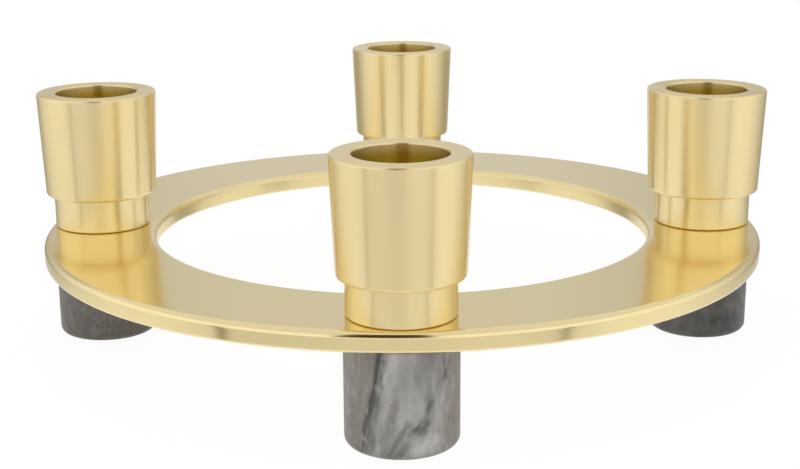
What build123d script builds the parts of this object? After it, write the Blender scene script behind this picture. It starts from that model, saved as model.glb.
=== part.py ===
from build123d import *
import os
from math import radians, tan

# Advent candle holder: a brass ring on four marble feet, with a turned brass candle cup over each foot.
# At each station one tie screw runs up through the foot and the ring into the cup and clamps all three.
# Millimetres, +Z up, origin on the table at the centre of the ring, front station towards -Y.

# Ring plate
ring_diameter = 200.0
ring_band_width = 30.5
ring_thickness = 5.0
ring_top_round_share = 0.35
ring_bottom_round_share = 0.14

# Stations, counted anticlockwise from the front; the inset runs from the ring's outer edge to their axes
station_names = ("front", "right", "back", "left")
front_angle = -90.0
station_inset = 14.5

# Candle socket, bored for a 22 mm dinner candle
candle_diameter = 22.0
candle_clearance = 0.25
socket_depth = 22.0
socket_floor_round = 0.8

# Candle cup: a rim, a wall that tapers down to a rounded step, and a straight neck below it
cup_base_thickness = 16.0
rim_width = 5.25
rim_outer_round_share = 0.12
rim_inner_round_share = 0.1
cup_flare = 1.2
cup_step = 2.1
step_round_share = 0.45
step_root_round_share = 0.15
neck_height = 9.2
neck_edge_round = 0.5

# Marble foot
foot_diameter = 27.5
foot_height = 26.5
foot_top_round = 0.4
foot_bottom_round = 2.0

# Tie screw, M6 with a socket head
screw_diameter = 6.0
screw_head_overhang = 2.0
screw_head_height = 6.0
screw_head_round = 0.6
screw_tip_chamfer = 0.8
key_across_flats = 5.0
key_depth = 3.0
key_sides = 6

# How the tie screw sits in the cup, the ring and the foot; clearances are radial
thread_clearance = 0.05
ring_hole_clearance = 0.25
foot_bore_clearance = 0.5
tap_run_out = 1.1
tap_web = 1.67
drill_point_angle = 118.0
head_recess = 1.9

# Plain washer above the screw head
washer_margin = 1.0
washer_thickness = 1.6
washer_hole_clearance = 0.2
counterbore_clearance = 0.5

# Felt pad
felt_thickness = 0.8
felt_margin = 1.75

# Overrun of a cut past the faces it goes through
cut_overrun = 1.0

# Radii
ring_outer_radius = ring_diameter / 2
ring_inner_radius = ring_outer_radius - ring_band_width
station_radius = ring_outer_radius - station_inset
socket_radius = candle_diameter / 2 + candle_clearance
rim_radius = socket_radius + rim_width
step_radius = rim_radius - cup_flare
neck_radius = step_radius - cup_step
foot_radius = foot_diameter / 2
screw_radius = screw_diameter / 2
head_radius = screw_radius + screw_head_overhang
tap_radius = screw_radius + thread_clearance
ring_hole_radius = screw_radius + ring_hole_clearance
foot_bore_radius = screw_radius + foot_bore_clearance
washer_radius = head_radius + washer_margin
washer_hole_radius = screw_radius + washer_hole_clearance
counterbore_radius = washer_radius + counterbore_clearance
felt_radius = foot_radius - foot_bottom_round - felt_margin

# Heights above the table
foot_base_z = felt_thickness
head_base_z = foot_base_z + head_recess
head_top_z = head_base_z + screw_head_height
washer_top_z = head_top_z + washer_thickness
foot_top_z = foot_base_z + foot_height
ring_top_z = foot_top_z + ring_thickness
step_z = ring_top_z + neck_height
socket_floor_z = ring_top_z + cup_base_thickness
rim_z = socket_floor_z + socket_depth
drill_tip_z = socket_floor_z - tap_web
tap_end_z = drill_tip_z - tap_radius / tan(radians(drill_point_angle / 2))
screw_tip_z = tap_end_z - tap_run_out


def turned(*corners):
    """Solid of revolution about Z. Its half section is closed, each corner (radius, height, corner round)."""
    points = [(radius, height) for radius, height, _ in corners]
    rounds = [corner_round for _, _, corner_round in corners]
    outline = FilletPolyline(*points, radius=rounds, close=True)
    return revolve(Plane.XZ * make_face(outline.edges()), Axis.Z)


def ring_plate(places):
    """Flat band, softly rounded above, with a clearance hole for each tie screw."""
    top_round = ring_thickness * ring_top_round_share
    bottom_round = ring_thickness * ring_bottom_round_share
    ring = turned(
        (ring_inner_radius, foot_top_z, bottom_round),
        (ring_outer_radius, foot_top_z, bottom_round),
        (ring_outer_radius, ring_top_z, top_round),
        (ring_inner_radius, ring_top_z, top_round),
    )
    hole_length = ring_thickness + 2 * cut_overrun
    hole_mid_z = (foot_top_z + ring_top_z) / 2
    for place in places:
        ring -= place * Pos(0, 0, hole_mid_z) * Cylinder(ring_hole_radius, hole_length)
    return ring


def candle_cup():
    """Cup turned from bar: flat-floored socket above, tapped hole with a drill point below."""
    return turned(
        (tap_radius, ring_top_z, 0),
        (neck_radius, ring_top_z, neck_edge_round),
        (neck_radius, step_z, cup_step * step_root_round_share),
        (step_radius, step_z, cup_step * step_round_share),
        (rim_radius, rim_z, rim_width * rim_outer_round_share),
        (socket_radius, rim_z, rim_width * rim_inner_round_share),
        (socket_radius, socket_floor_z, socket_floor_round),
        (0, socket_floor_z, 0),
        (0, drill_tip_z, 0),
        (tap_radius, tap_end_z, 0),
    )


def marble_foot():
    """Stone cylinder with a rounded bottom edge, bored for the screw and counterbored for its head."""
    return turned(
        (foot_bore_radius, foot_top_z, 0),
        (foot_bore_radius, washer_top_z, 0),
        (counterbore_radius, washer_top_z, 0),
        (counterbore_radius, foot_base_z, 0),
        (foot_radius, foot_base_z, foot_bottom_round),
        (foot_radius, foot_top_z, foot_top_round),
    )


def tie_screw():
    """Socket-head screw standing on its head, with its hex socket open downwards."""
    screw = turned(
        (0, head_base_z, 0),
        (head_radius, head_base_z, screw_head_round),
        (head_radius, head_top_z, 0),
        (screw_radius, head_top_z, 0),
        (screw_radius, screw_tip_z - screw_tip_chamfer, 0),
        (screw_radius - screw_tip_chamfer, screw_tip_z, 0),
        (0, screw_tip_z, 0),
    )
    hexagon = RegularPolygon(key_across_flats / 2, key_sides, major_radius=False)
    return screw - Pos(0, 0, head_base_z) * extrude(hexagon, amount=key_depth)


def screw_washer():
    """Plain washer that spreads the head's load on the roof of the counterbore."""
    return turned(
        (washer_hole_radius, head_top_z, 0),
        (washer_radius, head_top_z, 0),
        (washer_radius, washer_top_z, 0),
        (washer_hole_radius, washer_top_z, 0),
    )


def felt_pad():
    """Felt ring glued under the foot, open in the middle for the key."""
    return turned(
        (counterbore_radius, 0, 0),
        (felt_radius, 0, 0),
        (felt_radius, foot_base_z, 0),
        (counterbore_radius, foot_base_z, 0),
    )


def main():
    os.makedirs("parts", exist_ok=True)
    places = PolarLocations(station_radius, len(station_names), front_angle, rotate=False).locations
    export_step(ring_plate(places), "parts/ring_plate.step")
    station_pieces = {
        "candle_cup": candle_cup(),
        "marble_foot": marble_foot(),
        "tie_screw": tie_screw(),
        "screw_washer": screw_washer(),
        "felt_pad": felt_pad(),
    }
    for station, place in zip(station_names, places):
        for piece_name, piece in station_pieces.items():
            export_step(place * piece, f"parts/{piece_name}_{station}.step")
    print(f"overall height {rim_z:.2f}, screw length under head {screw_tip_z - head_top_z:.2f}")


main()
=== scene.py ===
# Looks of the advent candle holder: turned satin brass, veined grey marble, threaded tie screws, felt pads.
# Metres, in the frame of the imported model: +Z up, origin on the table at the centre of the ring.
import math
from collections import namedtuple

import bpy
from mathutils import Matrix, Vector


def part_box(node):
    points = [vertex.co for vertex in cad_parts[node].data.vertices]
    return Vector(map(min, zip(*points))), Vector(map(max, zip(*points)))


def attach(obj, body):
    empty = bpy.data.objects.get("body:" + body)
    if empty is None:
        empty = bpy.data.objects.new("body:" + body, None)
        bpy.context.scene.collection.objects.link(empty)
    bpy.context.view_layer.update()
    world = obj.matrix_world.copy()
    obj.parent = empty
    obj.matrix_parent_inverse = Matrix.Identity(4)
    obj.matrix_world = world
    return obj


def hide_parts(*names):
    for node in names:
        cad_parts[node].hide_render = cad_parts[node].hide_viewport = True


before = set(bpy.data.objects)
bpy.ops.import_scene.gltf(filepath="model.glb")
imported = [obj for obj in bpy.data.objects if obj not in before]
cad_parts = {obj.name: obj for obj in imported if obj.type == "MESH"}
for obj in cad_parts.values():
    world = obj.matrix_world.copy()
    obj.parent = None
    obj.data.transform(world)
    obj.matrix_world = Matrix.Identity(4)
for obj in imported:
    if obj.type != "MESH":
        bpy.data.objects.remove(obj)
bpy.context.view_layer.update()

STATIONS = ("front", "right", "back", "left")
MM = 0.001


def base_of(low, high):
    """Middle of the underside of a box between two corners."""
    return Vector(((low.x + high.x) / 2, (low.y + high.y) / 2, low.z))


def station_axis(station):
    """Point on the table below the middle of a station's cup."""
    low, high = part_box(f"candle_cup_{station}")
    base = base_of(low, high)
    return Vector((base.x, base.y, 0))


# Nodes

# Socket indices of the colour Mix node
MIX_A = 6
MIX_B = 7
MIX_RESULT = 2

# Looks of a noise texture; its scale is in cells a metre
Noise = namedtuple("Noise", "scale detail roughness distortion", defaults=(0.5, 0.0))


def set_inputs(tree, node, inputs):
    """Give each input socket a value, or wire another node's output to it."""
    for socket, value in inputs.items():
        if isinstance(value, bpy.types.NodeSocket):
            tree.links.new(value, node.inputs[socket])
        else:
            node.inputs[socket].default_value = value


def add_node(tree, kind, inputs=None, **settings):
    """Add a node with its settings and inputs."""
    node = tree.nodes.new(kind)
    for setting, value in settings.items():
        setattr(node, setting, value)
    set_inputs(tree, node, inputs or {})
    return node


def math_node(tree, operation, *values):
    """Output of a Math node on one, two or three values."""
    node = add_node(tree, "ShaderNodeMath", dict(enumerate(values)), operation=operation)
    return node.outputs[0]


def spread(tree, value, low, high):
    """Map a value from 0..1 to low..high."""
    node = add_node(tree, "ShaderNodeMapRange", {"Value": value, "To Min": low, "To Max": high})
    return node.outputs["Result"]


def ramp_between(tree, value, low, high):
    """Smooth step from 0 at low to 1 at high."""
    inputs = {"Value": value, "From Min": low, "From Max": high}
    node = add_node(tree, "ShaderNodeMapRange", inputs, interpolation_type="SMOOTHSTEP")
    return node.outputs["Result"]


def between(tree, value, stops):
    """1 between the two middle stops, falling to 0 at the outer ones."""
    starts, full, fades, ends = stops
    rise = ramp_between(tree, value, starts, full)
    fall = ramp_between(tree, value, ends, fades)
    return math_node(tree, "MULTIPLY", rise, fall)


def blend_colours(tree, factor, colour_a, colour_b):
    """Mix two colours by a factor."""
    inputs = {"Factor": factor, MIX_A: colour_a, MIX_B: colour_b}
    node = add_node(tree, "ShaderNodeMix", inputs, data_type="RGBA")
    return node.outputs[MIX_RESULT]


def colour_steps(tree, factor, stops):
    """Colour ramp with (position, colour) stops."""
    node = add_node(tree, "ShaderNodeValToRGB", {"Fac": factor})
    elements = node.color_ramp.elements
    while len(elements) < len(stops):
        elements.new(1.0)
    for element, (position, colour) in zip(elements, stops):
        element.position = position
        element.color = colour
    return node.outputs["Color"]


def noise(tree, vector, look):
    """Noise texture, from 0 to 1."""
    inputs = {
        "Vector": vector,
        "Scale": look.scale,
        "Detail": look.detail,
        "Roughness": look.roughness,
        "Distortion": look.distortion,
    }
    return add_node(tree, "ShaderNodeTexNoise", inputs).outputs["Fac"]


def relief(tree, height, strength, depth):
    """Normal of a surface with fine relief on it."""
    inputs = {"Height": height, "Strength": strength, "Distance": depth}
    return add_node(tree, "ShaderNodeBump", inputs).outputs["Normal"]


def parts_of(tree, vector):
    """X, Y and Z of a vector, as outputs."""
    return add_node(tree, "ShaderNodeSeparateXYZ", {"Vector": vector}).outputs


def length_of(tree, vector):
    """Length of a vector."""
    return add_node(tree, "ShaderNodeVectorMath", {0: vector}, operation="LENGTH").outputs["Value"]


def object_place(tree):
    """Object coordinates."""
    return add_node(tree, "ShaderNodeTexCoord").outputs["Object"]


def place_on(tree, centre):
    """Object coordinates with their origin moved to a centre."""
    inputs = {"Vector": object_place(tree), "Location": -Vector(centre)}
    return add_node(tree, "ShaderNodeMapping", inputs).outputs["Vector"]


def lean_on(tree, centre, lean, turn):
    """Object coordinates set on a centre, with Z leaning to the right and turned about the upright."""
    rotation = (0.0, math.radians(lean), math.radians(turn))
    inputs = {"Vector": object_place(tree), "Location": Vector(centre), "Rotation": rotation}
    return add_node(tree, "ShaderNodeMapping", inputs, vector_type="TEXTURE").outputs["Vector"]


def draw_out(tree, vector, factors):
    """Coordinates in which a pattern is drawn out by factors along X, Y and Z."""
    inputs = {"Vector": vector, "Scale": factors}
    return add_node(tree, "ShaderNodeMapping", inputs, vector_type="TEXTURE").outputs["Vector"]


def grey(value):
    return (value, value, value, 1.0)


def rgb(red, green, blue):
    return (red, green, blue, 1.0)


def new_group(name, inputs, outputs):
    """Empty shader group with float sockets, or vector sockets for names that end in Vector.

    Gives back the group, the outputs of its entry and its exit node.
    """
    group = bpy.data.node_groups.new(name, "ShaderNodeTree")
    for in_out, names in (("INPUT", inputs), ("OUTPUT", outputs)):
        for socket in names:
            kind = "NodeSocketVector" if socket.endswith("Vector") else "NodeSocketFloat"
            group.interface.new_socket(socket, in_out=in_out, socket_type=kind)
    entry = group.nodes.new("NodeGroupInput")
    leave = group.nodes.new("NodeGroupOutput")
    return group, entry.outputs, leave


def place_group(tree, group, inputs):
    """Outputs of a shader group placed in a material."""
    return add_node(tree, "ShaderNodeGroup", inputs, node_tree=group).outputs


def new_finish(name):
    """New node material: itself, its tree and its Principled shader."""
    material = bpy.data.materials.new(name)
    material.use_nodes = True
    tree = material.node_tree
    return material, tree, tree.nodes["Principled BSDF"]


def new_stage_finish(name):
    """New node material without a shader: itself, its tree and its output node."""
    material, tree, shader = new_finish(name)
    tree.nodes.remove(shader)
    return material, tree, tree.nodes["Material Output"]


# Brass

BRASS_PALE = rgb(0.93, 0.785, 0.44)
BRASS_DEEP = rgb(0.92, 0.755, 0.39)
BRASS_DRIFT = Noise(35.0, 3.0)
# The bore's colour is painted shade: darker, deeper brass down in the socket, where little light reaches
BORE_SHADE_BRASS = rgb(0.72, 0.54, 0.08)
# The seam's colour is painted shade: a dark line at the foot of the cup, where it stands on the ring
SEAM_SHADE_BRASS = rgb(0.72, 0.55, 0.18)

# Tool lines: how many a metre, how far they change the roughness, and their relief
TOOL_LINES = 9000.0
TOOL_LINE_DETAIL = 2.0
TOOL_LINE_SHEEN = (0.9, 1.1)
TOOL_LINE_RELIEF = 0.03
TOOL_LINE_DEPTH = 0.1 * MM
ACROSS_THE_LINES = 0.25

CUP_ROUGHNESS = 0.3
CUP_ANISOTROPY = 0.85
BORE_RADIUS = 11.25 * MM
BORE_EDGE = 0.4 * MM
# Depth below the rim over which the painted shade in the bore comes in
BORE_SHADE_DEPTH = 3.5 * MM
# Height over which the painted shade in the seam fades out
SEAM_SHADE_HEIGHT = 0.55 * MM

RING_ROUGHNESS = 0.15
RING_ANISOTROPY = 0.3
HOLE_EDGE_ROUGHNESS = 0.3
RIM_EDGE_ROUGHNESS = 0.13
RING_BAND = 30.5 * MM
RING_TOP_ROUND = 1.75 * MM
RING_BOTTOM_ROUND = 0.7 * MM


def turned_lines_group():
    """Circular tool lines about Z and a slow drift, both from 0 to 1, and the distance from the axis."""
    outputs = ["Lines", "Drift", "Radius"]
    group, entry, leave = new_group("turned_lines", ["Vector", "Lines per Metre"], outputs)
    split = parts_of(group, entry["Vector"])
    flat = add_node(group, "ShaderNodeCombineXYZ", {"X": split["X"], "Y": split["Y"]}).outputs["Vector"]
    radius = length_of(group, flat)
    along = math_node(group, "ADD", radius, split["Z"])
    inputs = {"W": along, "Scale": entry["Lines per Metre"], "Detail": TOOL_LINE_DETAIL}
    lines = add_node(group, "ShaderNodeTexNoise", inputs, noise_dimensions="1D").outputs["Fac"]
    drift = noise(group, entry["Vector"], BRASS_DRIFT)
    set_inputs(group, leave, {"Lines": lines, "Drift": drift, "Radius": radius})
    return group


TURNED_LINES = turned_lines_group()


def start_brass(name, centre):
    """New brass with circular tool lines about the upright through a centre.

    Gives back the material, its coordinates, the outputs of its tool lines and its colour.
    """
    material, tree, _ = new_finish(name)
    vector = place_on(tree, centre)
    lines = place_group(tree, TURNED_LINES, {"Vector": vector, "Lines per Metre": TOOL_LINES})
    colour = blend_colours(tree, lines["Drift"], BRASS_PALE, BRASS_DEEP)
    return material, vector, lines, colour


def finish_brass(material, lines, colour, roughness, anisotropy):
    """Wire up the colour and the tool lines' sheen and relief."""
    tree = material.node_tree
    sheen = spread(tree, lines["Lines"], *TOOL_LINE_SHEEN)
    inputs = {
        "Base Color": colour,
        "Metallic": 1.0,
        "Roughness": math_node(tree, "MULTIPLY", sheen, roughness),
        "Anisotropic": anisotropy,
        "Anisotropic Rotation": ACROSS_THE_LINES,
        "Normal": relief(tree, lines["Lines"], TOOL_LINE_RELIEF, TOOL_LINE_DEPTH),
    }
    set_inputs(tree, tree.nodes["Principled BSDF"], inputs)


def cup_brass(station):
    """Brass of a cup, with painted shade darkening its bore below the rim and a line of painted shade in
    the seam it stands on.
    """
    low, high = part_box(f"candle_cup_{station}")
    rim = high.z - low.z
    material, vector, lines, colour = start_brass(f"cup_brass_{station}", base_of(low, high))
    tree = material.node_tree
    height = parts_of(tree, vector)["Z"]
    # Painted shade in the bore: its wall darkens towards the bore colour below the rim
    inside = ramp_between(tree, lines["Radius"], BORE_RADIUS + BORE_EDGE, BORE_RADIUS)
    depth = ramp_between(tree, height, rim, rim - BORE_SHADE_DEPTH)
    colour = blend_colours(tree, math_node(tree, "MULTIPLY", inside, depth), colour, BORE_SHADE_BRASS)
    # Painted shade in the seam: the cup darkens towards its foot, where it stands on the ring
    colour = blend_colours(tree, ramp_between(tree, height, SEAM_SHADE_HEIGHT, 0.0), colour, SEAM_SHADE_BRASS)
    finish_brass(material, lines, colour, CUP_ROUGHNESS, CUP_ANISOTROPY)
    return material


def ring_brass():
    """Brass of the ring, brightest on its outer edge and dullest in its hole."""
    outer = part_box("ring_plate")[1].y
    inner = outer - RING_BAND
    material, _, lines, colour = start_brass("ring_brass", (0, 0, 0))
    tree = material.node_tree
    hole_edge = ramp_between(tree, lines["Radius"], inner + RING_BOTTOM_ROUND, inner)
    rim_edge = ramp_between(tree, lines["Radius"], outer - RING_TOP_ROUND, outer - RING_TOP_ROUND / 2)
    duller = math_node(tree, "MULTIPLY", hole_edge, HOLE_EDGE_ROUGHNESS - RING_ROUGHNESS)
    brighter = math_node(tree, "MULTIPLY", rim_edge, RIM_EDGE_ROUGHNESS - RING_ROUGHNESS)
    roughness = math_node(tree, "ADD", math_node(tree, "ADD", duller, brighter), RING_ROUGHNESS)
    finish_brass(material, lines, colour, roughness, RING_ANISOTROPY)
    return material


# Marble

# A layer is noise drawn out along X, Y and Z; it sets in between a low and a high value of the noise
StoneLayer = namedtuple("StoneLayer", "stretch noise low high")
LAYER_LOOKS = {
    "Bands": StoneLayer((1.0, 1.4, 3.0), Noise(120.0, 5.0, distortion=0.8), 0.32, 0.68),
    "Streaks": StoneLayer((1.0, 1.4, 3.5), Noise(620.0, 4.0, distortion=0.6), 0.35, 0.68),
    "Mottling": StoneLayer((1.0, 1.0, 1.5), Noise(420.0, 5.0, distortion=0.8), 0.35, 0.65),
    "Flecks": StoneLayer((1.0, 1.0, 2.6), Noise(480.0, 1.5, distortion=0.4), 0.58, 0.68),
    "Warmth": StoneLayer((1.0, 1.0, 2.0), Noise(150.0, 3.0, distortion=0.3), 0.48, 0.7),
}

# How the layers show: where the bands' tones lie, and the share of each other layer
BAND_TONES = (("deep", 0.0), ("mid", 0.35), ("pale", 0.8))
WARMTH_SHARE = 0.5
STREAK_SHARE = 0.28
MOTTLING_SHARE = 0.25
FLECK_SHARE = 0.35

# A vein sways, frays by a share of its width, fades out over its ends and is patchy
VEIN_SWAY = 1.2 * MM
VEIN_SWAY_NOISE = Noise(75.0, 3.0)
VEIN_STRETCH = (1.0, 1.0, 4.0)
VEIN_FRAY = 1.1
VEIN_FRAY_NOISE = Noise(900.0, 4.0, 0.65)
VEIN_END = 1.0 * MM
VEIN_PATCH_NOISE = Noise(380.0, 4.0, 0.6)
VEIN_PATCH_LOW, VEIN_PATCH_HIGH = 0.38, 0.58

STONE_GRAIN = Noise(1800.0, 3.0)
STONE_ROUGHNESS = (0.36, 0.52)
STONE_RELIEF = 0.04
STONE_RELIEF_DEPTH = 0.1 * MM

STONE_TONES = {
    "bright": (0.80, 0.785, 0.75),
    "pale": (0.60, 0.585, 0.555),
    "mid": (0.40, 0.39, 0.365),
    "deep": (0.25, 0.24, 0.215),
    "warm": (0.29, 0.25, 0.20),
    "dark": (0.07, 0.064, 0.055),
}

# A vein is a sheet through the stone: it leans to the right and is turned about Z (degrees), lies off the
# foot's axis and has a half width (mm), and runs from low to high along its lean (mm).
Vein = namedtuple("Vein", "tone lean turn offset width strength patchiness low high", defaults=(-40, 60))
FootStone = namedtuple("FootStone", "brightness lean turn veins")
# A foot's brightness scales all its tones. The right and left feet are darker partly by their own stone and
# partly by painted shade from the ring above them.
FOOT_STONES = {
    "front": FootStone(0.56, 12, 25, (
        Vein("warm", 11, 0, -12.8, 5.5, 0.8, 0.3),
        Vein("deep", 0, 0, -14.0, 2.2, 0.6, 0.3),
        Vein("warm", 2, 0, 12.4, 5.0, 0.85, 0.2),
        Vein("mid", 80, 0, -22.6, 3.5, 0.5, 0.3, -1, 10),
        Vein("bright", 12, 0, -7.0, 2.4, 0.5, 0.5),
        Vein("bright", 70, 0, -1.8, 3.4, 0.75, 0.2, 3, 10),
        Vein("deep", 11, 0, -9.2, 2.4, 0.75, 0.2),
        Vein("dark", 11, 0, -9.5, 1.1, 0.85, 0.2),
        Vein("dark", 11, 0, -9.0, 1.6, 0.6, 0.2, 12, 40),
        Vein("dark", 6, 0, -7.3, 1.0, 0.45, 0.3, -10, 11),
        Vein("dark", 30, 0, -3.6, 1.5, 0.55, 0.3, -2, 9.5),
        Vein("dark", 32, 0, -1.7, 1.7, 0.65, 0.3, -6, 9.5),
        Vein("dark", 47, 0, -2.8, 2.6, 0.75, 0.2, 7, 11),
        Vein("dark", 22, 0, 0.9, 1.2, 0.65, 0.1, 13, 16),
        Vein("dark", -4, 0, 10.9, 1.0, 0.65, 0.3, 18, 60),
    )),
    "right": FootStone(0.21, -38, 90, (
        Vein("dark", -38, 100, 2.0, 2.6, 0.7, 0.5),
        Vein("pale", -40, 80, -5.0, 1.2, 0.35, 0.7),
        Vein("pale", -35, 60, 7.0, 0.8, 0.3, 0.6),
        Vein("dark", -30, 120, -9.0, 2.0, 0.6, 0.5),
    )),
    "back": FootStone(0.58, 20, 150, (
        Vein("warm", 20, 150, 11.0, 5.0, 0.6, 0.3),
        Vein("dark", 20, 150, 2.5, 1.5, 0.8, 0.4),
        Vein("dark", 26, 165, -6.0, 1.1, 0.7, 0.7),
        Vein("pale", 15, 140, -2.0, 4.0, 0.4, 0.4),
    )),
    "left": FootStone(0.34, -30, -90, (
        Vein("warm", -30, -90, 11.0, 13.0, 0.9, 0.2),
        Vein("dark", -32, -100, 3.0, 1.6, 0.7, 0.6),
        Vein("dark", -25, -70, -6.0, 1.2, 0.7, 0.5),
        Vein("pale", -30, -90, -1.5, 1.5, 0.35, 0.6),
    )),
}


def stone_layers_group():
    """Bands, streaks, mottling and flecks drawn out along Z, and warm patches, each from 0 to 1."""
    group, entry, leave = new_group("stone_layers", ["Vector"], list(LAYER_LOOKS))
    for name, layer in LAYER_LOOKS.items():
        value = noise(group, draw_out(group, entry["Vector"], layer.stretch), layer.noise)
        set_inputs(group, leave, {name: ramp_between(group, value, layer.low, layer.high)})
    return group


def vein_group():
    """Wavy, frayed, patchy sheet across X, from Low to High along Z: 1 in its middle, 0 past its width."""
    inputs = ["Vector", "Offset", "Width", "Patchiness", "Low", "High"]
    group, entry, leave = new_group("vein", inputs, ["Vein"])
    split = parts_of(group, entry["Vector"])
    drawn = draw_out(group, entry["Vector"], VEIN_STRETCH)
    sway = spread(group, noise(group, entry["Vector"], VEIN_SWAY_NOISE), -VEIN_SWAY, VEIN_SWAY)
    fray = spread(group, noise(group, drawn, VEIN_FRAY_NOISE), -VEIN_FRAY, VEIN_FRAY)
    ragged = math_node(group, "MULTIPLY", fray, entry["Width"])
    place = math_node(group, "ADD", math_node(group, "ADD", split["X"], sway), ragged)
    distance = math_node(group, "ABSOLUTE", math_node(group, "SUBTRACT", place, entry["Offset"]))
    core = ramp_between(group, distance, entry["Width"], 0.0)
    above_low = math_node(group, "SUBTRACT", split["Z"], entry["Low"])
    below_high = math_node(group, "SUBTRACT", entry["High"], split["Z"])
    within = math_node(group, "MINIMUM", above_low, below_high)
    core = math_node(group, "MULTIPLY", core, ramp_between(group, within, -VEIN_END, VEIN_END))
    patches = ramp_between(group, noise(group, drawn, VEIN_PATCH_NOISE), VEIN_PATCH_LOW, VEIN_PATCH_HIGH)
    loss = math_node(group, "MULTIPLY", math_node(group, "SUBTRACT", 1.0, patches), entry["Patchiness"])
    kept = math_node(group, "SUBTRACT", 1.0, loss)
    set_inputs(group, leave, {"Vein": math_node(group, "MULTIPLY", core, kept)})
    return group


STONE_LAYERS = stone_layers_group()
VEIN = vein_group()


def veined_marble(station):
    """Honed grey marble: soft layers, darker and paler veins through them and fine grain; on the right and
    left feet partly darkened by painted shade.
    """
    stone = FOOT_STONES[station]
    # The brightness dims the right and left feet partly as painted shade from the ring over them
    tones = {name: rgb(*(part * stone.brightness for part in tone)) for name, tone in STONE_TONES.items()}
    material, tree, shader = new_finish(f"grey_marble_{station}")
    low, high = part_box(f"marble_foot_{station}")
    centre = base_of(low, high)
    layers = place_group(tree, STONE_LAYERS, {"Vector": lean_on(tree, centre, stone.lean, stone.turn)})
    colour = colour_steps(tree, layers["Bands"], [(place, tones[name]) for name, place in BAND_TONES])
    warmth = math_node(tree, "MULTIPLY", layers["Warmth"], WARMTH_SHARE)
    colour = blend_colours(tree, warmth, colour, tones["warm"])
    streaks = spread(tree, layers["Streaks"], STREAK_SHARE, 0.0)
    colour = blend_colours(tree, streaks, colour, tones["deep"])
    mottling = spread(tree, layers["Mottling"], 0.0, MOTTLING_SHARE)
    colour = blend_colours(tree, mottling, colour, tones["pale"])
    for vein in stone.veins:
        inputs = {
            "Vector": lean_on(tree, centre, vein.lean, vein.turn),
            "Offset": vein.offset * MM,
            "Width": vein.width * MM,
            "Patchiness": vein.patchiness,
            "Low": vein.low * MM,
            "High": vein.high * MM,
        }
        share = math_node(tree, "MULTIPLY", place_group(tree, VEIN, inputs)["Vein"], vein.strength)
        colour = blend_colours(tree, share, colour, tones[vein.tone])
    flecks = math_node(tree, "MULTIPLY", layers["Flecks"], FLECK_SHARE)
    grain = noise(tree, place_on(tree, centre), STONE_GRAIN)
    inputs = {
        "Base Color": blend_colours(tree, flecks, colour, tones["pale"]),
        "Roughness": spread(tree, grain, *STONE_ROUGHNESS),
        "Normal": relief(tree, grain, STONE_RELIEF, STONE_RELIEF_DEPTH),
    }
    set_inputs(tree, shader, inputs)
    return material


# Zinc and felt

ZINC_PALE = rgb(0.66, 0.67, 0.69)
ZINC_DEEP = rgb(0.56, 0.565, 0.575)
ZINC_CLOUDS = Noise(420.0, 4.0)
ZINC_ROUGHNESS = (0.26, 0.42)

FELT_DEEP = rgb(0.03, 0.03, 0.033)
FELT_PALE = rgb(0.11, 0.11, 0.118)
FELT_FIBRES = Noise(2200.0, 5.0, 0.7, 1.5)
FELT_ROUGHNESS = (0.85, 1.0)
FELT_RELIEF = 0.6
FELT_RELIEF_DEPTH = 0.15 * MM
FELT_SHEEN = 0.3


def zinc_steel():
    """Zinc-plated steel with a slightly uneven sheen."""
    material, tree, shader = new_finish("zinc_steel")
    clouds = noise(tree, place_on(tree, (0, 0, 0)), ZINC_CLOUDS)
    inputs = {
        "Base Color": blend_colours(tree, clouds, ZINC_PALE, ZINC_DEEP),
        "Metallic": 1.0,
        "Roughness": spread(tree, clouds, *ZINC_ROUGHNESS),
    }
    set_inputs(tree, shader, inputs)
    return material


def pressed_felt():
    """Charcoal felt: matted fibres, paler where they stand up."""
    material, tree, shader = new_finish("pressed_felt")
    fibres = noise(tree, place_on(tree, (0, 0, 0)), FELT_FIBRES)
    inputs = {
        "Base Color": blend_colours(tree, fibres, FELT_DEEP, FELT_PALE),
        "Roughness": spread(tree, fibres, *FELT_ROUGHNESS),
        "Normal": relief(tree, fibres, FELT_RELIEF, FELT_RELIEF_DEPTH),
        "Sheen Weight": FELT_SHEEN,
    }
    set_inputs(tree, shader, inputs)
    return material


ZINC_STEEL = zinc_steel()
PRESSED_FELT = pressed_felt()


# Pieces

ROUND_STEPS = 8
SAME_PLACE = MM / 1000
OVERRUN = 1.0 * MM
SMOOTH_ANGLE = math.radians(40)
FACE_AREA_WEIGHT = 100


def give_finish(piece, material):
    """Give a piece or a CAD node its one material."""
    piece.data.materials.clear()
    piece.data.materials.append(material)


def start_piece(name):
    """Name the primitive that was just added and open it for editing, with all of it selected."""
    piece = bpy.context.object
    piece.name = name
    piece.data.name = name
    bpy.ops.object.mode_set(mode="EDIT")
    bpy.ops.mesh.select_all(action="SELECT")
    return piece


def start_outline(name, radius, height):
    """Start a half section in the XZ plane: a piece of one vertex, open for editing."""
    bpy.ops.object.select_all(action="DESELECT")
    bpy.ops.mesh.primitive_plane_add(size=MM)
    piece = start_piece(name)
    bpy.ops.mesh.merge(type="CENTER")
    bpy.ops.transform.translate(value=(radius, 0.0, height))
    return piece


def extend_outline(outwards, upwards):
    """Draw a half section on from its last vertex."""
    bpy.ops.mesh.extrude_vertices_move(TRANSFORM_OT_translate={"value": (outwards, 0.0, upwards)})


def only(piece):
    """Make a piece the one selected and active object."""
    bpy.ops.object.select_all(action="DESELECT")
    piece.select_set(True)
    bpy.context.view_layer.objects.active = piece


def apply_modifier(piece, name, kind, **settings):
    """Add a modifier with its settings and apply it."""
    only(piece)
    modifier = piece.modifiers.new(name, kind)
    for setting, value in settings.items():
        setattr(modifier, setting, value)
    bpy.ops.object.modifier_apply(modifier=name)


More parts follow.
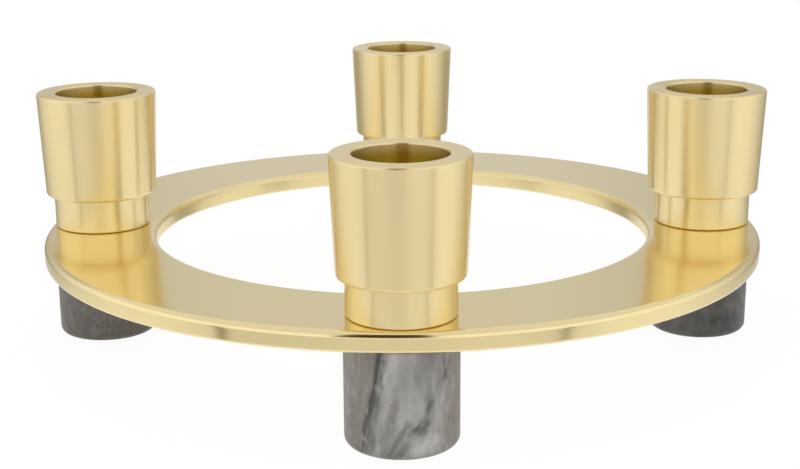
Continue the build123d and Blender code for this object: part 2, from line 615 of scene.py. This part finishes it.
def cut(piece, tool, operation="DIFFERENCE"):
    """Cut, join or trim a piece with a tool, and throw the tool away."""
    apply_modifier(piece, "cut", "BOOLEAN", object=tool, operation=operation, solver="EXACT")
    bpy.data.objects.remove(tool)


def add_cylinder(radius, low, high, sides, centre=(0.0, 0.0)):
    """Upright cylinder between two heights."""
    bpy.ops.object.select_all(action="DESELECT")
    place = (centre[0], centre[1], (low + high) / 2)
    bpy.ops.mesh.primitive_cylinder_add(vertices=sides, radius=radius, depth=high - low, location=place)
    bpy.ops.object.transform_apply()
    return bpy.context.object


def select_edges(piece, test):
    """In a piece that is open for editing, select just the edges with both ends passing a test."""
    bpy.ops.mesh.select_all(action="DESELECT")
    bpy.ops.object.mode_set(mode="OBJECT")
    passing = {vertex.index for vertex in piece.data.vertices if test(vertex.co)}
    for edge in piece.data.edges:
        edge.select = passing.issuperset(edge.vertices)
    bpy.ops.object.mode_set(mode="EDIT")


def round_ring(piece, radius, height, rounding):
    """Round the edge that runs about the Z axis at a radius and height."""
    def on_ring(place):
        same_radius = math.isclose(place.xy.length, radius, abs_tol=SAME_PLACE)
        return same_radius and math.isclose(place.z, height, abs_tol=SAME_PLACE)

    select_edges(piece, on_ring)
    bpy.ops.mesh.bevel(offset=rounding, segments=ROUND_STEPS, clamp_overlap=False)


def lathe(name, half_section, sides):
    """Turn a half section about the Z axis.

    Its corners are (radius, height, corner round), and the last may be the first again.
    """
    piece = start_outline(name, half_section[0][0], half_section[0][1])
    for (radius, height, _), (next_radius, next_height, _) in zip(half_section, half_section[1:]):
        extend_outline(next_radius - radius, next_height - height)
    bpy.ops.mesh.select_all(action="SELECT")
    bpy.ops.mesh.spin(steps=sides, angle=2 * math.pi, center=(0.0, 0.0, 0.0), axis=(0.0, 0.0, 1.0))
    bpy.ops.mesh.select_all(action="SELECT")
    bpy.ops.mesh.remove_doubles(threshold=SAME_PLACE)
    bpy.ops.mesh.normals_make_consistent(inside=False)
    bpy.ops.mesh.select_mode(type="EDGE")
    for radius, height, rounding in half_section:
        if rounding:
            round_ring(piece, radius, height, rounding)
    bpy.ops.mesh.select_mode(type="VERT")
    bpy.ops.object.mode_set(mode="OBJECT")
    return piece


def smooth_faces(piece):
    """Shade a turned piece smooth, with its large faces even right up to its rounded edges."""
    only(piece)
    bpy.ops.object.shade_smooth_by_angle(angle=SMOOTH_ANGLE)
    apply_modifier(piece, "even_faces", "WEIGHTED_NORMAL", keep_sharp=True, weight=FACE_AREA_WEIGHT)


RING_SIDES = 288
SCREW_HOLE_RADIUS = 3.25 * MM
SCREW_HOLE_SIDES = 48


def brass_ring():
    """Flat ring, softly rounded above, with a clearance hole for each tie screw."""
    low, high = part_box("ring_plate")
    outer = high.y
    inner = outer - RING_BAND
    half_section = (
        (inner, low.z, RING_BOTTOM_ROUND),
        (outer, low.z, RING_BOTTOM_ROUND),
        (outer, high.z, RING_TOP_ROUND),
        (inner, high.z, RING_TOP_ROUND),
        (inner, low.z, 0.0),
    )
    ring = lathe("brass_ring", half_section, RING_SIDES)
    hole_low, hole_high = low.z - OVERRUN, high.z + OVERRUN
    for station in STATIONS:
        axis = station_axis(station)
        cut(ring, add_cylinder(SCREW_HOLE_RADIUS, hole_low, hole_high, SCREW_HOLE_SIDES, axis))
    smooth_faces(ring)
    give_finish(ring, ring_brass())
    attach(ring, "frame")
    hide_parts("ring_plate")


CUP_SIDES = 144
NECK_RADIUS = 13.2 * MM
NECK_HEIGHT = 9.2 * MM
NECK_EDGE_ROUND = 0.5 * MM
STEP_RADIUS = 15.3 * MM
STEP_ROUND = 0.95 * MM
STEP_ROOT_ROUND = 0.32 * MM
RIM_RADIUS = 16.5 * MM
RIM_OUTER_ROUND = 0.63 * MM
RIM_INNER_ROUND = 0.53 * MM
SOCKET_DEPTH = 22.0 * MM
SOCKET_FLOOR_ROUND = 0.8 * MM
TAP_RADIUS = 3.05 * MM
TAP_MOUTH_ROUND = 0.4 * MM
TAP_WEB = 1.67 * MM
DRILL_POINT = math.radians(118)


def turned_cup():
    """Candle cup on the Z axis: straight neck, step, wall widening to the rim, socket and tapped hole."""
    low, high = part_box("candle_cup_front")
    step = low.z + NECK_HEIGHT
    socket_floor = high.z - SOCKET_DEPTH
    drill_tip = socket_floor - TAP_WEB
    tap_end = drill_tip - TAP_RADIUS / math.tan(DRILL_POINT / 2)
    half_section = (
        (0.0, drill_tip, 0.0),
        (TAP_RADIUS, tap_end, 0.0),
        (TAP_RADIUS, low.z, TAP_MOUTH_ROUND),
        (NECK_RADIUS, low.z, NECK_EDGE_ROUND),
        (NECK_RADIUS, step, STEP_ROOT_ROUND),
        (STEP_RADIUS, step, STEP_ROUND),
        (RIM_RADIUS, high.z, RIM_OUTER_ROUND),
        (BORE_RADIUS, high.z, RIM_INNER_ROUND),
        (BORE_RADIUS, socket_floor, SOCKET_FLOOR_ROUND),
        (0.0, socket_floor, 0.0),
    )
    cup = lathe("turned_cup", half_section, CUP_SIDES)
    smooth_faces(cup)
    return cup


SCREW_RADIUS = 3.0 * MM
SCREW_HEAD_HEIGHT = 6.0 * MM
SCREW_HEAD_EDGE = 0.6 * MM
SCREW_HEAD_EDGE_STEPS = 3
SCREW_SMOOTH_ANGLE = math.radians(30)
KNURL_RIDGES = 36
KNURL_SHARE = 0.975
HEX_SIDES = 6
HEX_FLATS = 5.0 * MM
HEX_DEPTH = 3.0 * MM
FACING_UP = 0.5

# Thread, its form from root to root; it is wound some turns past its ends and then cut square
THREAD_PITCH = 1.0 * MM
THREAD_DEPTH = 0.61 * MM
THREAD_CREST = THREAD_PITCH / 8
THREAD_FLANK = THREAD_PITCH * 5 / 16
THREAD_ROOT = THREAD_PITCH - THREAD_CREST - 2 * THREAD_FLANK
THREAD_LENGTH = 24.0 * MM
THREAD_STEPS = 32
SPARE_TURNS = 2
TIP_CHAMFER = 0.8 * MM
TIP_SIDES = 64


def thread_rod(low, high):
    """Threaded rod between two heights, its ends cut square, with a chamfered tip."""
    start = low - SPARE_TURNS * THREAD_PITCH
    turns = math.ceil((high - start) / THREAD_PITCH) + SPARE_TURNS
    rod = start_outline("thread_rod", SCREW_RADIUS - THREAD_DEPTH, start)
    extend_outline(0.0, THREAD_ROOT)
    extend_outline(THREAD_DEPTH, THREAD_FLANK)
    extend_outline(0.0, THREAD_CREST)
    extend_outline(-THREAD_DEPTH, THREAD_FLANK)
    bpy.ops.object.mode_set(mode="OBJECT")
    apply_modifier(
        rod,
        "helix",
        "SCREW",
        axis="Z",
        angle=2 * math.pi,
        screw_offset=THREAD_PITCH,
        iterations=turns,
        steps=THREAD_STEPS,
        render_steps=THREAD_STEPS,
        use_merge_vertices=True,
        merge_threshold=SAME_PLACE,
    )
    only(rod)
    bpy.ops.object.mode_set(mode="EDIT")
    for height, side in ((low, -1.0), (high, 1.0)):
        bpy.ops.mesh.select_all(action="SELECT")
        bpy.ops.mesh.bisect(plane_co=(0, 0, height), plane_no=(0, 0, side), use_fill=True, clear_outer=True)
    bpy.ops.mesh.select_all(action="SELECT")
    bpy.ops.mesh.normals_make_consistent(inside=False)
    bpy.ops.object.mode_set(mode="OBJECT")
    sleeve = add_cylinder(SCREW_RADIUS + OVERRUN, low - OVERRUN, high + OVERRUN, TIP_SIDES)
    start_piece("tip_sleeve")
    select_edges(sleeve, lambda place: place.z > high)
    bpy.ops.mesh.bevel(offset=2 * OVERRUN + TIP_CHAMFER, segments=1)
    bpy.ops.object.mode_set(mode="OBJECT")
    cut(rod, sleeve, "INTERSECT")
    return rod


def threaded_screw():
    """Socket-head screw on the Z axis: knurled head below, plain shank, thread up to the tip."""
    low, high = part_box("tie_screw_front")
    head_radius = (high.x - low.x) / 2
    head_top = low.z + SCREW_HEAD_HEIGHT
    thread_low = high.z - THREAD_LENGTH
    screw = add_cylinder(head_radius, low.z, head_top, 2 * KNURL_RIDGES)
    start_piece("threaded_screw")
    bpy.ops.object.mode_set(mode="OBJECT")
    for polygon in screw.data.polygons:
        polygon.select = polygon.normal.z > FACING_UP
    bpy.ops.object.mode_set(mode="EDIT")
    bpy.ops.mesh.select_mode(type="FACE")
    bpy.ops.mesh.inset(thickness=head_radius - SCREW_RADIUS)
    bpy.ops.mesh.extrude_region_move(TRANSFORM_OT_translate={"value": (0.0, 0.0, thread_low - head_top)})
    bpy.ops.mesh.select_mode(type="VERT")
    bpy.ops.mesh.select_all(action="DESELECT")
    bpy.ops.object.mode_set(mode="OBJECT")
    for vertex in screw.data.vertices:
        ridge = round(math.atan2(vertex.co.y, vertex.co.x) / (math.pi / KNURL_RIDGES))
        on_side = vertex.co.xy.length > (head_radius + SCREW_RADIUS) / 2
        vertex.select = on_side and ridge % 2 == 0
    bpy.ops.object.mode_set(mode="EDIT")
    bpy.ops.transform.resize(value=(KNURL_SHARE, KNURL_SHARE, 1.0), center_override=(0.0, 0.0, 0.0))
    select_edges(screw, lambda place: place.z < low.z + OVERRUN)
    bpy.ops.mesh.select_mode(type="EDGE")
    bpy.ops.mesh.bevel(offset=SCREW_HEAD_EDGE, segments=SCREW_HEAD_EDGE_STEPS)
    bpy.ops.mesh.select_mode(type="VERT")
    bpy.ops.object.mode_set(mode="OBJECT")
    hex_corner = HEX_FLATS / 2 / math.cos(math.pi / HEX_SIDES)
    cut(screw, add_cylinder(hex_corner, low.z - OVERRUN, low.z + HEX_DEPTH, HEX_SIDES))
    cut(screw, thread_rod(thread_low - THREAD_PITCH / 2, high.z), "UNION")
    only(screw)
    bpy.ops.object.shade_smooth_by_angle(angle=SCREW_SMOOTH_ANGLE)
    give_finish(screw, ZINC_STEEL)
    return screw


# The felt is a little smaller than its CAD pad, so that its nap stays within the pad's faces
FELT_SIDES = 96
FELT_SHY = 0.12 * MM
FELT_HOLE_RADIUS = 6.5 * MM
FELT_EDGE = 0.22 * MM
FELT_EDGE_STEPS = 3
FELT_HALVINGS = 2
NAP_SIZE = 0.6 * MM
NAP_HEIGHT = 0.12 * MM
NAP_MIDDLE = 0.9


def felt_ring():
    """Ring of pressed felt on the Z axis, its edges soft and its faces matted."""
    low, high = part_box("felt_pad_front")
    outer = (high.x - low.x) / 2 - FELT_SHY
    inner = FELT_HOLE_RADIUS + FELT_SHY
    rise = high.z - low.z - FELT_SHY
    centre = (0.0, 0.0, low.z + FELT_SHY / 2)
    bpy.ops.object.select_all(action="DESELECT")
    bpy.ops.mesh.primitive_circle_add(vertices=FELT_SIDES, radius=outer, location=centre)
    bpy.ops.object.transform_apply()
    felt = start_piece("felt_ring")
    bpy.ops.mesh.extrude_region_move()
    bpy.ops.transform.resize(value=(inner / outer, inner / outer, 1.0), center_override=centre)
    bpy.ops.mesh.select_all(action="SELECT")
    bpy.ops.mesh.extrude_region_move(TRANSFORM_OT_translate={"value": (0.0, 0.0, rise)})
    bpy.ops.mesh.select_all(action="SELECT")
    bpy.ops.mesh.normals_make_consistent(inside=False)
    bpy.ops.object.mode_set(mode="OBJECT")
    edge = {"width": FELT_EDGE, "segments": FELT_EDGE_STEPS}
    apply_modifier(felt, "soft_edge", "BEVEL", limit_method="ANGLE", **edge)
    halvings = {"levels": FELT_HALVINGS, "render_levels": FELT_HALVINGS}
    apply_modifier(felt, "fine_mesh", "SUBSURF", subdivision_type="SIMPLE", **halvings)
    nap = bpy.data.textures.new("felt_nap", "CLOUDS")
    nap.noise_scale = NAP_SIZE
    heights = {"strength": NAP_HEIGHT, "mid_level": NAP_MIDDLE}
    apply_modifier(felt, "nap", "DISPLACE", texture=nap, texture_coords="LOCAL", **heights)
    only(felt)
    bpy.ops.object.shade_smooth()
    give_finish(felt, PRESSED_FELT)
    return felt


def copy_to(piece, name, axis):
    """Copy of a piece modelled on the Z axis, with its own mesh, moved to a station."""
    copy = bpy.data.objects.new(name, piece.data.copy())
    bpy.context.scene.collection.objects.link(copy)
    copy.data.transform(Matrix.Translation(axis))
    return copy


def finish_cad_nodes():
    """Give the feet and washers, which are shown as they come from the CAD, their finishes."""
    for station in STATIONS:
        give_finish(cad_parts[f"marble_foot_{station}"], veined_marble(station))
        give_finish(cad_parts[f"screw_washer_{station}"], ZINC_STEEL)


def add_pieces():
    """Model the ring, then each other kind of piece once, and set a copy of it at each station."""
    brass_ring()
    cup, screw, felt = turned_cup(), threaded_screw(), felt_ring()
    for station in STATIONS:
        axis = station_axis(station)
        own_cup = copy_to(cup, f"turned_cup_{station}", axis)
        give_finish(own_cup, cup_brass(station))
        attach(own_cup, f"cup_{station}")
        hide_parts(f"candle_cup_{station}")
        own_screw = copy_to(screw, f"threaded_screw_{station}", axis)
        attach(own_screw, f"screw_{station}")
        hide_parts(f"tie_screw_{station}")
        own_felt = copy_to(felt, f"felt_ring_{station}", axis)
        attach(own_felt, "frame")
        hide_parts(f"felt_pad_{station}")
    for pattern in (cup, screw, felt):
        bpy.data.objects.remove(pattern)


# Studio

TABLE_SIZE = 6.0
TABLE_GLOW = 0.95
MIRRORED_NEAR = 100 * MM
MIRRORED_FAR = 190 * MM


def make_floor():
    """White table top with the holder's shadow on it. From below it is open, so that the feet can be seen.

    The metal mirrors the table close to it, and beyond that the studio.
    """
    bpy.ops.object.select_all(action="DESELECT")
    bpy.ops.mesh.primitive_plane_add(size=TABLE_SIZE)
    floor = bpy.context.object
    floor.name = "table_top"
    material, tree, output = new_stage_finish("white_table")
    path = add_node(tree, "ShaderNodeLightPath").outputs
    seen = math_node(tree, "MAXIMUM", path["Is Camera Ray"], path["Is Glossy Ray"])
    seen = math_node(tree, "MAXIMUM", seen, path["Is Transmission Ray"])
    paint = add_node(tree, "ShaderNodeBsdfDiffuse", {"Color": grey(1.0)}).outputs[0]
    glow = add_node(tree, "ShaderNodeEmission", {"Color": grey(1.0), "Strength": 1.0}).outputs[0]
    share = math_node(tree, "MULTIPLY", seen, TABLE_GLOW)
    above = add_node(tree, "ShaderNodeMixShader", {0: share, 1: paint, 2: glow}).outputs[0]
    clear = add_node(tree, "ShaderNodeBsdfTransparent").outputs[0]
    below = add_node(tree, "ShaderNodeNewGeometry").outputs["Backfacing"]
    far = ramp_between(tree, length_of(tree, object_place(tree)), MIRRORED_NEAR, MIRRORED_FAR)
    far_in_mirror = math_node(tree, "MULTIPLY", path["Is Glossy Ray"], far)
    gone = math_node(tree, "MAXIMUM", below, far_in_mirror)
    both = add_node(tree, "ShaderNodeMixShader", {0: gone, 1: above, 2: clear}).outputs[0]
    set_inputs(tree, output, {"Surface": both})
    floor.data.materials.append(material)


# Brightness of the studio wall by the angle from the camera's side: (degrees, low down, higher up)
PANELS = (
    (-180, 0.80, 0.66), (-168, 0.68, 0.66), (-155, 0.43, 0.56), (-142, 0.38, 0.52), (-128, 0.46, 0.60),
    (-110, 0.72, 0.90), (-92, 0.86, 1.02), (-70, 0.88, 1.06), (-54, 0.77, 1.06), (-51.2, 0.73, 1.06),
    (-50.5, 0.10, 0.90), (-49.2, 0.10, 0.90), (-48.5, 0.68, 1.06), (-24, 0.69, 1.06), (-14, 0.73, 1.06),
    (5, 0.73, 1.06), (15, 0.76, 1.06), (30, 0.78, 1.06), (43.4, 0.71, 1.06), (44.1, 0.10, 0.90),
    (45.4, 0.10, 0.90), (46.1, 0.75, 1.06), (60, 0.92, 1.06), (82, 0.92, 1.02), (100, 0.76, 0.90),
    (118, 0.54, 0.65), (135, 0.38, 0.52), (158, 0.43, 0.56), (170, 0.66, 0.66), (180, 0.80, 0.66),
)

# Panels dimmer than this are warmer, by a share taken from red, green and blue
DIM_PANEL = 0.6
DIM_TINT = (0.0, 0.2, 0.7)

# The wall reaches as far below the table as above it. Its low panels pass into the high ones, and those
# into the ceiling, between two heights.
WALL_RADIUS = 0.495
WALL_HEIGHT = 0.8
WALL_SIDES = 96
LIFT_FROM, LIFT_TO = -0.01, 0.09
CEILING = 0.82
CEILING_FROM, CEILING_TO = 0.26, 0.42

# Dark shape of the camera on the wall, which shows only where it is mirrored once
DARK_CAMERA = rgb(0.07, 0.035, 0.01)
DARK_CAMERA_SIDES = tuple(math.radians(degrees) for degrees in (-20, -16, 6, 11))
DARK_CAMERA_HEIGHTS = (0.08, 0.16, 0.74, 0.80)
MIRRORED_TWICE = 2.0


def panel_tone(brightness):
    """Colour of a studio panel: white, and the warmer the dimmer it is."""
    dimness = max(0.0, 1.0 - brightness / DIM_PANEL)
    return rgb(*(brightness * (1.0 - dimness * tint) for tint in DIM_TINT))


def make_studio_wall():
    """Round wall of soft panels, gaps between them and the dark camera, which only the metal mirrors."""
    bpy.ops.object.select_all(action="DESELECT")
    bpy.ops.mesh.primitive_cylinder_add(
        vertices=WALL_SIDES, radius=WALL_RADIUS, depth=2 * WALL_HEIGHT, end_fill_type="NOTHING"
    )
    wall = bpy.context.object
    wall.name = "studio_wall"
    wall.visible_camera = wall.visible_diffuse = wall.visible_transmission = wall.visible_shadow = False
    material, tree, output = new_stage_finish("studio_panels")
    material.cycles.emission_sampling = "NONE"
    split = parts_of(tree, object_place(tree))
    towards = math_node(tree, "MULTIPLY", split["Y"], -1.0)
    angle = math_node(tree, "ARCTAN2", split["X"], towards)
    inputs = {"Value": angle, "From Min": -math.pi, "From Max": math.pi}
    turned = add_node(tree, "ShaderNodeMapRange", inputs).outputs["Result"]
    low_stops = [((degrees + 180) / 360, panel_tone(low)) for degrees, low, _ in PANELS]
    high_stops = [((degrees + 180) / 360, panel_tone(high)) for degrees, _, high in PANELS]
    low_panels = colour_steps(tree, turned, low_stops)
    high_panels = colour_steps(tree, turned, high_stops)
    lift = ramp_between(tree, split["Z"], LIFT_FROM, LIFT_TO)
    panels = blend_colours(tree, lift, low_panels, high_panels)
    overhead = ramp_between(tree, split["Z"], CEILING_FROM, CEILING_TO)
    panels = blend_colours(tree, overhead, panels, grey(CEILING))
    beside = between(tree, angle, DARK_CAMERA_SIDES)
    level = between(tree, split["Z"], DARK_CAMERA_HEIGHTS)
    mirrored = add_node(tree, "ShaderNodeLightPath").outputs["Glossy Depth"]
    once = math_node(tree, "LESS_THAN", mirrored, MIRRORED_TWICE)
    dark = math_node(tree, "MULTIPLY", math_node(tree, "MULTIPLY", beside, level), once)
    colour = blend_colours(tree, dark, panels, DARK_CAMERA)
    glow = add_node(tree, "ShaderNodeEmission", {"Color": colour}).outputs[0]
    set_inputs(tree, output, {"Surface": glow})
    wall.data.materials.append(material)


ROUND_LIGHT = 0.9


def make_world():
    """Even light from all round. The metal mirrors a greyer ceiling, and the background is white."""
    world = bpy.data.worlds.new("studio")
    bpy.context.scene.world = world
    world.use_nodes = True
    tree = world.node_tree
    path = add_node(tree, "ShaderNodeLightPath").outputs
    light = blend_colours(tree, path["Is Glossy Ray"], grey(ROUND_LIGHT), grey(CEILING))
    seen = math_node(tree, "MAXIMUM", path["Is Camera Ray"], path["Is Transmission Ray"])
    set_inputs(tree, tree.nodes["Background"], {"Color": blend_colours(tree, seen, light, grey(1.0))})


LAMP_PLACE = Vector((-0.1, -0.55, 0.8))
LAMP_SIZE = 0.6
LAMP_WATTS = 2.4


def make_key_lamp():
    """Soft lamp above and in front, which lights stone and table. The metal mirrors the studio alone."""
    data = bpy.data.lights.new("key_lamp", "AREA")
    data.shape = "SQUARE"
    data.size = LAMP_SIZE
    data.energy = LAMP_WATTS
    lamp = bpy.data.objects.new("key_lamp", data)
    bpy.context.scene.collection.objects.link(lamp)
    towards_centre = LAMP_PLACE.to_track_quat("Z", "Y").to_matrix().to_4x4()
    lamp.matrix_world = Matrix.Translation(LAMP_PLACE) @ towards_centre
    lamp.visible_glossy = False


CAMERA_PLACE = Vector((1.1, -418.1, 139.9)) * MM
CAMERA_YAW = math.radians(-0.23)
CAMERA_PITCH = math.radians(14.95)
CAMERA_ROLL = math.radians(-0.35)
CAMERA_LENS = 67.8
CAMERA_SENSOR = 36.0
CAMERA_NEAR = 10 * MM


def make_camera():
    """Camera with the photograph's place and view."""
    data = bpy.data.cameras.new("camera")
    data.lens = CAMERA_LENS
    data.sensor_width = CAMERA_SENSOR
    data.clip_start = CAMERA_NEAR
    camera = bpy.data.objects.new("camera", data)
    bpy.context.scene.collection.objects.link(camera)
    yaw = Matrix.Rotation(-CAMERA_YAW, 4, "Z")
    pitch = Matrix.Rotation(math.pi / 2 - CAMERA_PITCH, 4, "X")
    roll = Matrix.Rotation(CAMERA_ROLL, 4, "Z")
    camera.matrix_world = Matrix.Translation(CAMERA_PLACE) @ yaw @ pitch @ roll
    bpy.context.scene.camera = camera


bpy.context.scene.view_settings.view_transform = "Standard"
finish_cad_nodes()
add_pieces()
make_floor()
make_studio_wall()
make_world()
make_key_lamp()
make_camera()
